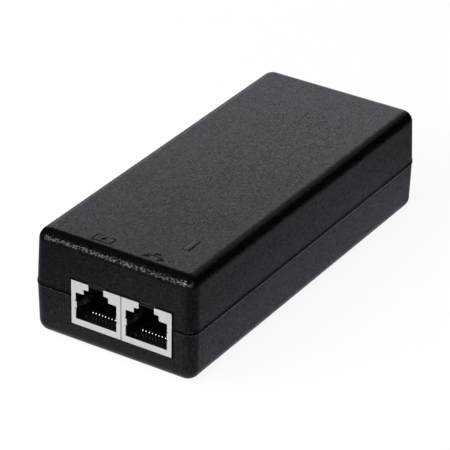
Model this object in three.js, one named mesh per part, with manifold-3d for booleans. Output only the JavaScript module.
// Mains-fed power-over-data injector: a two-part moulded casing with two shielded
// 8-way modular jacks in the front, a mains inlet in the rear and the converter inside.
// Millimetres, +Z up, ports face -Y, origin at the centre of the underside.
import * as THREE from 'three';
import { mergeVertices } from 'three/addons/utils/BufferGeometryUtils.js';
import Module from 'manifold-3d';

const wasm = await Module();
wasm.setup();

// ---------------------------------------------------------------- shared dimensions
const CASE_W = 51.6;            // at the parting line
const CASE_L = 120.0;           // at the parting line
const CASE_H = 31.7;
const WALL = 2.2;
const CEILING_Z = CASE_H - WALL;
const FACE_Y = -CASE_L / 2;     // front plane of the jacks
const REAR_Y = CASE_L / 2;      // rear plane of the inlet rim
const SIDES = [-1, 1];

const BOARD_Z0 = 5.2;
const BOARD_Z1 = 6.8;
const PARTS_Z = BOARD_Z1 + 0.03;   // parts stand just clear of the board face

const POST_X = 19.4;
const POST_Y = [-34.0, 50.0];
const POSTS = POST_Y.flatMap((y) => SIDES.map((side) => [side * POST_X, y]));

const JACK_W = 16.08;
const JACK_H = 13.43;
const JACK_SPLIT_X = 3.12;      // plane between the two jacks
const JACK_TOP_Z = PARTS_Z + JACK_H;

const INLET_HALF_W = 13.5;
const INLET_TOP_Z = 26.6;

const LENS_X = 14.3;
const LENS_Y = -43.85;
const LENS_HALF_X = 0.93;
const LENS_HALF_Y = 2.75;

// ---------------------------------------------------------------- solids and meshes
function toSolid(geometry) {
  const bare = geometry.clone();
  bare.deleteAttribute('normal');
  bare.deleteAttribute('uv');
  const merged = mergeVertices(bare, 1e-4);
  return new wasm.Manifold(new wasm.Mesh({
    numProp: 3,
    vertProperties: new Float32Array(merged.attributes.position.array),
    triVerts: new Uint32Array(merged.index.array),
  }));
}

function toGeometry(solid) {
  const mesh = solid.getMesh();
  const geometry = new THREE.BufferGeometry();
  geometry.setAttribute('position', new THREE.BufferAttribute(mesh.vertProperties, 3));
  geometry.setIndex(Array.from(mesh.triVerts));
  geometry.computeVertexNormals();
  return geometry;
}

const join = (solid, ...others) => others.reduce((sum, other) => sum.add(other), solid);
const cut = (solid, ...tools) => tools.reduce((rest, tool) => rest.subtract(tool), solid);
const around = (centre, half) => [centre - half, centre + half];

// A box between pairs of limits; each pair may run either way.
function box([x0, x1], [y0, y1], [z0, z1]) {
  const geometry = new THREE.BoxGeometry(Math.abs(x1 - x0), Math.abs(y1 - y0), Math.abs(z1 - z0));
  geometry.translate((x0 + x1) / 2, (y0 + y1) / 2, (z0 + z1) / 2);
  return toSolid(geometry);
}

function cylinderZ(x, y, [z0, z1], radius, segments) {
  const geometry = new THREE.CylinderGeometry(radius, radius, z1 - z0, segments);
  geometry.rotateX(Math.PI / 2);
  geometry.translate(x, y, (z0 + z1) / 2);
  return toSolid(geometry);
}

function cylinderY(x, [y0, y1], z, radius, segments) {
  const geometry = new THREE.CylinderGeometry(radius, radius, y1 - y0, segments);
  geometry.translate(x, (y0 + y1) / 2, z);
  return toSolid(geometry);
}

function extrudedGeometry(points, depth) {
  const shape = new THREE.Shape(points.map(([across, up]) => new THREE.Vector2(across, up)));
  return new THREE.ExtrudeGeometry(shape, { depth, bevelEnabled: false });
}

// Outline in (y, z), pushed along X.
function extrudeX(points, [x0, x1]) {
  const geometry = extrudedGeometry(points, x1 - x0);
  geometry.applyMatrix4(new THREE.Matrix4().makeBasis(
    new THREE.Vector3(0, 1, 0), new THREE.Vector3(0, 0, 1), new THREE.Vector3(1, 0, 0)));
  geometry.translate(x0, 0, 0);
  return toSolid(geometry);
}

// Outline in (x, z), pushed along Y.
function extrudeY(points, [y0, y1]) {
  const geometry = extrudedGeometry(points, y1 - y0);
  geometry.applyMatrix4(new THREE.Matrix4().makeBasis(
    new THREE.Vector3(1, 0, 0), new THREE.Vector3(0, 0, 1), new THREE.Vector3(0, -1, 0)));
  geometry.translate(0, y1, 0);
  return toSolid(geometry);
}

// Outline in (x, y), pushed along Z.
function extrudeZ(points, [z0, z1]) {
  const geometry = extrudedGeometry(points, z1 - z0);
  geometry.translate(0, 0, z0);
  return toSolid(geometry);
}

// Outline of a strip of constant thickness along a polyline, with mitred bends.
function strip(line, thickness) {
  const points = line.map(([across, up]) => new THREE.Vector2(across, up));
  const normals = points.slice(1).map((point, i) => {
    const along = point.clone().sub(points[i]).normalize();
    return new THREE.Vector2(-along.y, along.x);
  });
  const left = [];
  const right = [];
  points.forEach((point, i) => {
    const before = normals[Math.max(i - 1, 0)];
    const after = normals[Math.min(i, normals.length - 1)];
    const mitre = before.clone().add(after).normalize();
    mitre.multiplyScalar(thickness / 2 / mitre.dot(before));
    left.push([point.x + mitre.x, point.y + mitre.y]);
    right.push([point.x - mitre.x, point.y - mitre.y]);
  });
  return left.concat(right.reverse());
}

// ---------------------------------------------------------------- materials and group
const LOOKS = {
  casing: { color: 0x26282c, roughness: 0.55, metalness: 0.0 },
  smoked: { color: 0x1c1d20, roughness: 0.35, metalness: 0.0 },
  tin: { color: 0xd4d4d2, roughness: 0.38, metalness: 0.9 },
  insulator: { color: 0x08080a, roughness: 0.5, metalness: 0.0 },
  gold: { color: 0xe6c06a, roughness: 0.25, metalness: 1.0 },
  steel: { color: 0xb8b8b8, roughness: 0.35, metalness: 1.0 },
  board: { color: 0x1f5a34, roughness: 0.5, metalness: 0.0 },
  brass: { color: 0xc9a765, roughness: 0.3, metalness: 1.0 },
  inlet: { color: 0x141415, roughness: 0.45, metalness: 0.0 },
  yellow: { color: 0xe2c648, roughness: 0.5, metalness: 0.0 },
  ferrite: { color: 0x2e2e30, roughness: 0.7, metalness: 0.0 },
  copper: { color: 0xb5683a, roughness: 0.35, metalness: 0.8 },
  aluminium: { color: 0xc6c8ca, roughness: 0.4, metalness: 1.0 },
  sleeve: { color: 0x2b2d55, roughness: 0.4, metalness: 0.0 },
  package: { color: 0x1a1a1b, roughness: 0.6, metalness: 0.0 },
  tape: { color: 0xe8d35a, roughness: 0.45, metalness: 0.0 },
  blue: { color: 0x2f6fa8, roughness: 0.5, metalness: 0.0 },
  green: { color: 0x3e6b4b, roughness: 0.5, metalness: 0.0 },
  glass: { color: 0xdfe7ea, roughness: 0.1, metalness: 0.0 },
  led: { color: 0xcfe6cf, roughness: 0.3, metalness: 0.0 },
};

const root = new THREE.Group();
root.name = 'poe_injector';

function addPiece(name, solid, look) {
  const mesh = new THREE.Mesh(toGeometry(solid), new THREE.MeshStandardMaterial(LOOKS[look]));
  mesh.name = name;
  root.add(mesh);
}

// ---------------------------------------------------------------- casing
const SEAM_Z = 15.43;           // height of the parting line
const SEAM_GAP = 0.45;          // shadow gap between the two covers
const TOP_SEAM_Z = SEAM_Z + SEAM_GAP / 2;
const BOTTOM_SEAM_Z = SEAM_Z - SEAM_GAP / 2;
const TOP_DRAFT = THREE.MathUtils.degToRad(1.88);
const BOTTOM_DRAFT = THREE.MathUtils.degToRad(1.10);
const CORNER_R = 3.5;           // upright corners
const TOP_EDGE_R = 3.28;
const BOTTOM_EDGE_R = 3.45;
const CORNER_SHRINK = 0.96;     // loss of corner radius per unit of edge rounding
const CORNER_STEPS = 5;
const EDGE_STEPS = 5;

// Corner-rounded rectangle lying inside the casing's outline by the inset.
function ringPoints(inset, radius) {
  const points = [];
  const corners = [[1, 1, 0], [-1, 1, 90], [-1, -1, 180], [1, -1, 270]];
  for (const [signX, signY, startAngle] of corners) {
    for (let i = 0; i <= CORNER_STEPS; i++) {
      const angle = THREE.MathUtils.degToRad(startAngle + (90 * i) / CORNER_STEPS);
      points.push([
        signX * (CASE_W / 2 - inset - radius) + radius * Math.cos(angle),
        signY * (CASE_L / 2 - inset - radius) + radius * Math.sin(angle),
      ]);
    }
  }
  return points;
}

// A solid through rings given from the lowest up as [z, inset, corner radius].
function ringStack(levels) {
  const ringSize = 4 * (CORNER_STEPS + 1);
  const positions = [];
  const triangles = [];
  for (const [z, inset, radius] of levels) {
    for (const [x, y] of ringPoints(inset, radius)) positions.push(x, y, z);
  }
  for (let k = 0; k + 1 < levels.length; k++) {
    for (let i = 0; i < ringSize; i++) {
      const here = k * ringSize + i;
      const next = k * ringSize + ((i + 1) % ringSize);
      triangles.push(here, next, next + ringSize, here, next + ringSize, here + ringSize);
    }
  }
  // Close both ends with fans about a centre point.
  const lowCentre = positions.length / 3;
  const lastRing = (levels.length - 1) * ringSize;
  positions.push(0, 0, levels[0][0], 0, 0, levels[levels.length - 1][0]);
  for (let i = 0; i < ringSize; i++) {
    const next = (i + 1) % ringSize;
    triangles.push(lowCentre, next, i);
    triangles.push(lowCentre + 1, lastRing + i, lastRing + next);
  }
  const geometry = new THREE.BufferGeometry();
  geometry.setAttribute('position', new THREE.Float32BufferAttribute(positions, 3));
  geometry.setIndex(triangles);
  return toSolid(geometry);
}

// Drafted block from the seam to its outer face, with the outer edge rounded.
function coverBlock(seamZ, outerZ, edgeRadius, draft) {
  const outward = Math.sign(outerZ - seamZ);
  const draftInset = (z) => Math.abs(z - SEAM_Z) * Math.tan(draft);
  const levels = [[seamZ, draftInset(seamZ), CORNER_R]];
  for (let i = 0; i <= EDGE_STEPS; i++) {
    const angle = (Math.PI / 2) * (i / EDGE_STEPS);
    const z = outerZ - outward * edgeRadius * (1 - Math.sin(angle));
    const edgeInset = edgeRadius * (1 - Math.cos(angle));
    levels.push([z, draftInset(z) + edgeInset, CORNER_R - edgeInset * CORNER_SHRINK]);
  }
  return ringStack(outward > 0 ? levels : levels.reverse());
}

const JACK_CLEARANCE = 0.38;
const INLET_CLEARANCE = 0.28;
const jackOpening = (zRange) => box(
  around(JACK_SPLIT_X, JACK_W + JACK_CLEARANCE), [FACE_Y - 2, FACE_Y + 3.5], zRange);
const inletOpening = (zRange) => box(
  around(0, INLET_HALF_W + INLET_CLEARANCE), [REAR_Y - 3.5, REAR_Y + 2], zRange);

// Sunk icons on the top face, above the jacks.
const ICON_Y = -53.85;
const ICON_Z = [CASE_H - 0.25, CASE_H + 1];
const ICON_HALF_W = 3.1;
const ICON_HALF_H = 1.7;
const FRAME_LINE = 0.4;
const FLASH_OUTLINE = [         // [x, y] from the icon's centre
  [0.05, 1.2], [-0.95, -0.2], [-0.2, -0.2], [-0.5, -1.2],
  [0.95, 0.3], [0.15, 0.3], [0.7, 1.2],
];

// A flash in a port outline, over the powered jack.
function powerIcon() {
  const iconX = JACK_SPLIT_X - 9.6;
  const through = around(CASE_H, 2);
  const frame = cut(
    box(around(iconX, ICON_HALF_W), around(ICON_Y, ICON_HALF_H), ICON_Z),
    box(around(iconX, ICON_HALF_W - FRAME_LINE), around(ICON_Y, ICON_HALF_H - FRAME_LINE), through),
    box(around(iconX, 1.0), [ICON_Y + 0.9, ICON_Y + 2.2], through));
  return join(frame, extrudeZ(FLASH_OUTLINE.map(([x, y]) => [x + iconX, y + ICON_Y]), ICON_Z));
}

// Three linked blocks, over the data jack.
function networkIcon() {
  const iconX = JACK_SPLIT_X + 6.8;
  const blocks = [              // [x0, x1, y0, y1] from the icon's centre
    [-0.85, 0.85, 0.5, 1.7],
    [-3.1, -1.4, -1.7, -0.5],
    [1.4, 3.1, -1.7, -0.5],
    [-0.18, 0.18, -0.05, 0.55],
    [-2.43, 2.43, -0.15, 0.2],
    [-2.43, -2.07, -0.55, 0.05],
    [2.07, 2.43, -0.55, 0.05],
  ];
  return join(...blocks.map(([x0, x1, y0, y1]) => box(
    [iconX + x0, iconX + x1], [ICON_Y + y0, ICON_Y + y1], ICON_Z)));
}

// Shell with a rebate for the bottom cover's tongue and bosses for the screws.
function topCover() {
  const rebateInset = 1.2;
  let cover = cut(
    coverBlock(TOP_SEAM_Z, CASE_H, TOP_EDGE_R, TOP_DRAFT),
    ringStack([
      [TOP_SEAM_Z - 1, WALL, 1.6],
      [CEILING_Z - 1.2, WALL + 0.5, 1.6],
      [CEILING_Z, WALL + 1.7, 0.6],
    ]),
    ringStack([
      [TOP_SEAM_Z - 1, rebateInset, 2.4],
      [TOP_SEAM_Z + 1.5, rebateInset, 2.4],
    ]));
  for (const [x, y] of POSTS) {
    cover = join(cover, cylinderZ(x, y, [14.6, CEILING_Z + 0.4], 3.2, 18));
    cover = cut(cover, cylinderZ(x, y, [14.0, 24.0], 1.35, 14));
  }
  const lensSlot = box(
    around(LENS_X, LENS_HALF_X + 0.1),
    around(LENS_Y, LENS_HALF_Y + 0.1),
    [CEILING_Z - 0.6, CASE_H + 1]);
  return cut(cover,
    jackOpening([TOP_SEAM_Z - 1.5, JACK_TOP_Z + 0.5]),
    inletOpening([TOP_SEAM_Z - 1.5, INLET_TOP_Z + INLET_CLEARANCE]),
    lensSlot, powerIcon(), networkIcon());
}
addPiece('top_cover', topCover(), 'casing');

// Square pads under the board, [x, y].
const BOARD_PADS = [
  [-19, -55], [21.3, -52], [0, -8], [-19, 10], [19, 10], [-17.5, 40], [17.5, 40],
];

// Shell with a tongue, board pads and screw posts recessed from below.
function bottomCover() {
  const tongueInset = 1.35;
  const openTopZ = 20;
  let cover = join(
    coverBlock(BOTTOM_SEAM_Z, 0, BOTTOM_EDGE_R, BOTTOM_DRAFT),
    ringStack([
      [BOTTOM_SEAM_Z - 2, tongueInset, 2.2],
      [BOTTOM_SEAM_Z + 1.3, tongueInset, 2.2],
    ]));
  cover = cut(cover, ringStack([
    [WALL, WALL + 1.2, 1.0],
    [WALL + 1.2, WALL + 0.25, 1.6],
    [BOTTOM_SEAM_Z + 2, WALL, 1.8],
  ]));
  for (const [x, y] of POSTS) {
    cover = join(cover, cylinderZ(x, y, [WALL - 0.5, 14.3], 3.5, 20));
    cover = cut(cover,
      cylinderZ(x, y, [-1, 8.0], 2.75, 20),
      cylinderZ(x, y, [7, 16], 1.55, 16));
  }
  for (const [x, y] of BOARD_PADS) {
    cover = join(cover, box(around(x, 1.2), around(y, 1.2), [WALL - 0.4, BOARD_Z0 - 0.02]));
  }
  return cut(cover,
    jackOpening([PARTS_Z - 0.33, openTopZ]),
    inletOpening([PARTS_Z - INLET_CLEARANCE, openTopZ]));
}
addPiece('bottom_cover', bottomCover(), 'casing');

// Self-tapping screws, heads down, with a cross recess.
const SCREW_PROFILE = [         // [radius, z]
  [0, 5.9], [1.9, 6.0], [2.5, 6.5], [2.5, 7.85], [1.15, 7.85], [1.15, 21.0], [0, 22.2],
];
function coverScrew(x, y) {
  const profile = SCREW_PROFILE.map(([radius, z]) => new THREE.Vector2(radius, z));
  const geometry = new THREE.LatheGeometry(profile, 18);
  geometry.rotateX(Math.PI / 2);
  geometry.translate(x, y, 0);
  const slotLength = 1.4;       // half sizes
  const slotWidth = 0.26;
  return cut(toSolid(geometry),
    box(around(x, slotLength), around(y, slotWidth), [5, 7]),
    box(around(x, slotWidth), around(y, slotLength), [5, 7]));
}
POSTS.forEach(([x, y], i) => addPiece(`cover_screw_${i + 1}`, coverScrew(x, y), 'steel'));

// ---------------------------------------------------------------- status light
function statusLens() {
  const flangeZ = CEILING_Z - 1.6;
  return join(
    box(around(LENS_X, LENS_HALF_X), around(LENS_Y, LENS_HALF_Y), [flangeZ, CASE_H - 0.03]),
    box(around(LENS_X, LENS_HALF_X + 0.9), around(LENS_Y, LENS_HALF_Y + 0.7),
      [flangeZ, CEILING_Z - 0.72]));
}
addPiece('status_lens', statusLens(), 'smoked');

addPiece('status_led', join(
  box(around(LENS_X, 1.0), around(LENS_Y, 2.5), [22.0, 27.3]),
  box(around(LENS_X, 1.35), around(LENS_Y, 2.85), [21.5, 22.5])), 'led');

// Leads run back from under the lamp, then down to the board.
const LED_LEAD_T = 0.45;
const LED_LEAD_OFFSET = 0.62;
const LED_LEAD_LINE = [         // [y, z]
  [LENS_Y + 1.0, 21.45], [LENS_Y + 1.0, 20.95], [LENS_Y + 1.25, 20.7],
  [-38.5, 20.7], [-38.2, 20.4], [-38.2, 6.85],
];
SIDES.forEach((side, i) => {
  const xRange = around(LENS_X + side * LED_LEAD_OFFSET, LED_LEAD_T / 2);
  addPiece(`led_lead_${i + 1}`, extrudeX(strip(LED_LEAD_LINE, LED_LEAD_T), xRange), 'steel');
});

// ---------------------------------------------------------------- board
// Rectangle with cut corners and round clearances for the screw posts.
function circuitBoard() {
  const halfW = 22.7;
  const halfL = 57.1;
  const corner = 1.5;
  const outline = [
    [-halfW + corner, -halfL], [halfW - corner, -halfL],
    [halfW, -halfL + corner], [halfW, halfL - corner],
    [halfW - corner, halfL], [-halfW + corner, halfL],
    [-halfW, halfL - corner], [-halfW, -halfL + corner],
  ];
  return cut(extrudeZ(outline, [BOARD_Z0, BOARD_Z1]),
    ...POSTS.map(([x, y]) => cylinderZ(x, y, [4, 8], 3.8, 20)));
}
addPiece('circuit_board', circuitBoard(), 'board');

// ---------------------------------------------------------------- jacks
const JACK_D = 21.0;
const JACK_BACK_Y = FACE_Y + JACK_D;
const SHEET = 0.25;             // shield thickness
const JACK_OUTER_GAP = 0.07;
const JACK_MID_GAP = 0.11;      // from each jack to the plane between them
const CORE_INSET = SHEET + 0.06;

const MOUTH_HALF_W = 6.55;      // plug opening
const MOUTH_Z0 = 8.72;
const MOUTH_Z1 = 16.75;
const STEP_HALF_W = 3.93;
const STEP_Z1 = 18.35;
const LATCH_HALF_W = 2.42;
const LATCH_Z1 = JACK_TOP_Z - SHEET;

const CONTACT_COUNT = 8;
const CONTACT_PITCH = 1.03;
const CONTACT_W = 0.46;
const CONTACT_T = 0.30;
const CONTACT_LINE = [          // [y, z], front to rear
  [-56.3, 7.5], [-56.3, 9.2], [-56.05, 9.65], [-55.5, 9.9], [-46.7, 12.1], [-45.6, 12.05],
];
const COMB_Y = -57.0;           // front faces of the comb ribs under the springs
const COMB_BACK_Y = -44.9;
const COMB_TOP_Z = 9.4;
const SLOT_HALF_W = 0.33;

const FINGER_Z = 12.95;         // centre height of the side grounding fingers
const FINGER_HALF_H = 1.05;
const FINGER_T = 0.2;
const FINGER_LINE = [           // [distance from the jack's centre plane, y]
  [6.33, -59.7], [6.3, -59.2], [5.5, -55.6], [5.55, -54.9], [6.0, -53.0],
];
const NOTCH_HALF_H = 0.13;      // notches above and below each root tab

const contactX = (centreX, i) => centreX + (i - (CONTACT_COUNT - 1) / 2) * CONTACT_PITCH;

// Stepped plug opening in (x, z), symmetric about the jack's centre plane.
function mouthOutline(centreX, halfW, z0, latchZ) {
  const half = [
    [halfW, z0], [halfW, MOUTH_Z1], [STEP_HALF_W, MOUTH_Z1],
    [STEP_HALF_W, STEP_Z1], [LATCH_HALF_W, STEP_Z1], [LATCH_HALF_W, latchZ],
  ];
  const right = half.map(([x, z]) => [centreX + x, z]);
  const left = half.map(([x, z]) => [centreX - x, z]).reverse();
  return right.concat(left);
}

// Folded sheet shield, open underneath, with a root tab for each finger.
function jackShield(centreX, x0, x1) {
  let shield = cut(
    box([x0, x1], [FACE_Y, JACK_BACK_Y], [PARTS_Z, JACK_TOP_Z]),
    box([x0 + SHEET, x1 - SHEET], [FACE_Y + SHEET, JACK_BACK_Y - SHEET], [PARTS_Z - 1, LATCH_Z1]),
    extrudeY(mouthOutline(centreX, MOUTH_HALF_W, MOUTH_Z0, LATCH_Z1),
      [FACE_Y - 1, FACE_Y + SHEET + 0.3]));
  // How far each tab stands into the opening.
  for (const [side, tabReach] of [[-1, 0.28], [1, 0.06]]) {
    const edgeX = centreX + side * MOUTH_HALF_W;
    shield = join(shield, box([edgeX - side * tabReach, edgeX + side * 0.3],
      [FACE_Y, FACE_Y + SHEET], around(FINGER_Z, FINGER_HALF_H)));
    for (const updown of SIDES) {
      const notchZ = FINGER_Z + updown * (FINGER_HALF_H + NOTCH_HALF_H);
      shield = cut(shield, box(around(edgeX, 0.36),
        [FACE_Y - 1, FACE_Y + SHEET + 0.2], around(notchZ, NOTCH_HALF_H)));
    }
  }
  // The front edge of the top sheet is set back over the latch slot.
  return cut(shield, box(around(centreX, LATCH_HALF_W),
    [FACE_Y - 1, FACE_Y + 0.8], [LATCH_Z1 - 1, JACK_TOP_Z + 1]));
}

// Insulator with the stepped cavity, comb slots for the springs and finger pockets.
function jackInsulator(centreX, x0, x1) {
  const coreTopZ = JACK_TOP_Z - CORE_INSET;
  let core = cut(
    box([x0 + CORE_INSET, x1 - CORE_INSET],
      [FACE_Y + CORE_INSET, JACK_BACK_Y - CORE_INSET], [PARTS_Z, coreTopZ]),
    extrudeY(mouthOutline(centreX, 6.58, 8.4, 18.7), [FACE_Y - 1, -46.3]),
    // latch channel
    box(around(centreX, LATCH_HALF_W), [FACE_Y - 1, -50.5], [16, coreTopZ - 0.45]),
    // well in front of the comb
    box(around(centreX, 5.9), [-59.3, COMB_Y], [7.4, COMB_TOP_Z]));
  // One floor slot more at each end than there are springs.
  for (let i = -1; i <= CONTACT_COUNT; i++) {
    const slotX = around(contactX(centreX, i), SLOT_HALF_W);
    core = cut(core, box(slotX, [COMB_Y - 0.5, COMB_BACK_Y], [7.25, COMB_TOP_Z]));
    if (i >= 0 && i < CONTACT_COUNT) {
      core = cut(core, box(slotX, [-46.6, COMB_BACK_Y], [9.0, 13.2]));
    }
  }
  for (const side of SIDES) {
    core = cut(core, box([centreX + side * 6.2, centreX + side * 7.3],
      [FACE_Y - 1, -51.8], around(FINGER_Z, FINGER_HALF_H + 0.3)));
  }
  return core;
}

function jackContact(x) {
  return extrudeX(strip(CONTACT_LINE, CONTACT_T), around(x, CONTACT_W / 2));
}

// Grounding finger, sprung inwards behind the opening's edge.
function jackFinger(centreX, side) {
  const line = FINGER_LINE.map(([distance, y]) => [centreX + side * distance, y]);
  return extrudeZ(strip(line, FINGER_T), around(FINGER_Z, FINGER_HALF_H));
}

function addJack(prefix, jackSide) {
  const centreX = JACK_SPLIT_X + jackSide * JACK_W / 2;
  const leftGap = jackSide > 0 ? JACK_MID_GAP : JACK_OUTER_GAP;
  const rightGap = jackSide > 0 ? JACK_OUTER_GAP : JACK_MID_GAP;
  const x0 = centreX - JACK_W / 2 + leftGap;
  const x1 = centreX + JACK_W / 2 - rightGap;
  addPiece(`${prefix}_jack_shield`, jackShield(centreX, x0, x1), 'tin');
  addPiece(`${prefix}_jack_insulator`, jackInsulator(centreX, x0, x1), 'insulator');
  for (let i = 0; i < CONTACT_COUNT; i++) {
    addPiece(`${prefix}_jack_contact_${i + 1}`, jackContact(contactX(centreX, i)), 'gold');
  }
  addPiece(`${prefix}_jack_finger_left`, jackFinger(centreX, -1), 'tin');
  addPiece(`${prefix}_jack_finger_right`, jackFinger(centreX, 1), 'tin');
}
addJack('poe', -1);
addJack('lan', 1);

// ---------------------------------------------------------------- mains inlet
const PIN_HALF_W = 1;
const PIN_HALF_H = 2;
const PIN_CLEARANCE = 0.08;
const INLET_PINS = [            // [name, x, z]
  ['neutral', -7, 14.8], ['line', 7, 14.8], ['earth', 0, 18.8],
];

// Rectangle with its two upper corners cut, in (x, z).
function chamferedOutline(halfW, z0, z1, chamfer) {
  return [
    [-halfW, z0], [halfW, z0], [halfW, z1 - chamfer],
    [halfW - chamfer, z1], [-halfW + chamfer, z1], [-halfW, z1 - chamfer],
  ];
}

function inletHousing() {
  const flange = 1.6;
  const body = extrudeY(chamferedOutline(INLET_HALF_W, PARTS_Z, INLET_TOP_Z, 0.6), [43.3, REAR_Y]);
  const collar = extrudeY(
    chamferedOutline(INLET_HALF_W + flange, PARTS_Z, INLET_TOP_Z + flange, 0.6), [54.4, 57.2]);
  return cut(join(body, collar),
    extrudeY(chamferedOutline(12.0, 8.6, 25.0, 5.0), [45.6, REAR_Y + 1]),
    ...INLET_PINS.map(([, x, z]) => box(
      around(x, PIN_HALF_W + PIN_CLEARANCE), [42, 47], around(z, PIN_HALF_H + PIN_CLEARANCE))));
}
addPiece('inlet_housing', inletHousing(), 'inlet');

// Flat pin, bevelled above and below at its rear tip.
function inletPin(x, z) {
  const bevels = SIDES.map((side) => extrudeX(
    [[58.5, z + side * 2.5], [58.5, z + side * 1.2], [56.8, z + side * 2.5]], around(x, 2)));
  return cut(box(around(x, PIN_HALF_W), [41.2, 58.0], around(z, PIN_HALF_H)), ...bevels);
}
for (const [name, x, z] of INLET_PINS) addPiece(`inlet_pin_${name}`, inletPin(x, z), 'brass');

// ---------------------------------------------------------------- converter, on the board
// Joined boxes, each row [x0, x1, y0, y1, z0, z1] with z counted from PARTS_Z.
function blocks(...rows) {
  return join(...rows.map(([x0, x1, y0, y1, z0, z1]) => box(
    [x0, x1], [y0, y1], [PARTS_Z + z0, PARTS_Z + z1])));
}

// Rows for evenly pitched leads that cross under a package.
function leadRows(count, [x0, x1], firstY, pitch, width, height) {
  return Array.from({ length: count }, (_, i) => {
    const y = firstY + i * pitch;
    return [x0, x1, y, y + width, 0, height];
  });
}

addPiece('fuse', cylinderY(-18.6, [21.5, 41.0], PARTS_Z + 2.7, 2.6, 16), 'glass');

addPiece('inrush_thermistor', join(
  cylinderY(8.5, [37.6, 41.0], PARTS_Z + 5.4, 4.6, 20),
  blocks([6.0, 6.6, 39, 39.6, 0, 3], [10.4, 11.0, 39, 39.6, 0, 3])), 'green');

addPiece('x_capacitor', blocks([-13.5, 3.5, 33.0, 40.5, 0, 13.5]), 'yellow');

// Common-mode choke: a square ring core, open along Y, in a one-piece coil.
addPiece('choke_core', cut(
  blocks([-13.5, 3.5, 20.0, 30.5, 1.2, 14.2]),
  blocks([-9.8, -0.2, 15, 35, 4.4, 11.0])), 'ferrite');

// A tray under the core and a hoop over its front, top and rear.
function chokeCoil() {
  const tray = cut(
    blocks([-9.6, -0.4, 17.6, 32.9, 0, 4.1]),
    blocks([-20, 20, 19.7, 30.8, 0.9, 20]));
  const hoop = cut(
    blocks([-8.8, -1.2, 18.6, 31.9, 2, 16.2]),
    blocks([-20, 20, 19.7, 30.8, -1, 14.5]));
  return join(tray, hoop);
}
addPiece('choke_coil', chokeCoil(), 'copper');

addPiece('bridge_rectifier', blocks(
  [14.0, 17.6, 21.0, 39.0, 1.0, 15.5],
  ...[22.4, 27.0, 32.0, 36.6].map((y) => [15.6, 16.0, y, y + 1, 0, 2])), 'package');

addPiece('bulk_capacitor', cylinderY(10.6, [-9.5, 19.0], PARTS_Z + 9.0, 8.9, 28), 'sleeve');

addPiece('primary_heatsink', blocks(
  [-21.9, -20.3, -4.0, 17.5, 0, 17.5],
  [-20.3, -18.4, -4.0, -2.6, 2.5, 17.5]), 'aluminium');

// Body, tab and leads, standing against the heatsink.
addPiece('switching_transistor', blocks(
  [-20.27, -15.9, 2.5, 12.7, 4.0, 12.6],
  [-20.27, -19.0, 2.5, 12.7, 12.5, 16.8],
  ...leadRows(3, [-17.9, -17.3], 4.6, 2.6, 0.8, 4.2)), 'package');

// Transformer: a rectangular ring core, open along X, round the coil.
addPiece('transformer_core', cut(
  blocks([-14.6, -1.2, -17.0, 7.0, 2.2, 19.8]),
  blocks([-20, 5, -12.6, 2.6, 5.6, 16.4])), 'ferrite');

// Base with a channel for the core, end cheeks and the winding between them.
addPiece('transformer_coil', cut(
  blocks(
    [-17.4, 0.9, -12.3, 2.3, 0, 5.3],
    [-16.2, -14.9, -11.4, 1.4, 5, 16.1],
    [-0.9, 0.4, -11.4, 1.4, 5, 16.1],
    [-16.2, 0.4, -11.4, 1.4, 5.9, 16.1]),
  blocks([-14.9, -0.9, -12.9, 3.0, 1.9, 5.9])), 'tape');

addPiece('y_capacitor', join(
  cylinderY(-17.2, [-20.6, -17.8], PARTS_Z + 4.4, 3.9, 18),
  blocks([-18.9, -18.4, -19.5, -19.0, 0, 2.5], [-16.0, -15.5, -19.5, -19.0, 0, 2.5])), 'blue');

addPiece('optocoupler', blocks(
  [-14.9, -8.4, -25.4, -20.8, 0.5, 4.0],
  [-14.2, -13.6, -26.6, -19.6, 0, 1.9],
  [-9.7, -9.1, -26.6, -19.6, 0, 1.9]), 'package');

addPiece('secondary_heatsink', blocks(
  [20.3, 21.9, -29.6, -10.5, 0, 16.5],
  [18.4, 20.3, -11.9, -10.5, 2.5, 16.5]), 'aluminium');

addPiece('output_diode', blocks(
  [15.9, 20.27, -25.0, -14.8, 4.0, 12.2],
  [19.0, 20.27, -25.0, -14.8, 12.1, 15.8],
  ...leadRows(2, [17.3, 17.9], -23.0, 5.2, 0.8, 4.2)), 'package');

[-16.2, -28.0].forEach((y, i) => addPiece(`output_capacitor_${i + 1}`,
  cylinderZ(9.4, y, [PARTS_Z, PARTS_Z + 20.0], 5.0, 22), 'sleeve'));

addPiece('data_transformer', blocks(
  [-5.8, 3.0, -36.8, -23.8, 0.3, 6.2],
  ...leadRows(6, [-7.0, 4.2], -35.9, 2.1, 0.5, 0.9)), 'package');

addPiece('power_port_chip', blocks(
  [-14.9, -8.9, -38.4, -28.4, 0.2, 2.5],
  ...leadRows(7, [-15.6, -8.2], -37.5, 1.27, 0.4, 0.7)), 'package');

addPiece('control_chip', blocks(
  [-21.0, -18.4, -11.4, -6.4, 0.2, 1.7],
  ...leadRows(4, [-21.9, -17.6], -10.9, 1.2, 0.4, 0.6)), 'package');

export default root;
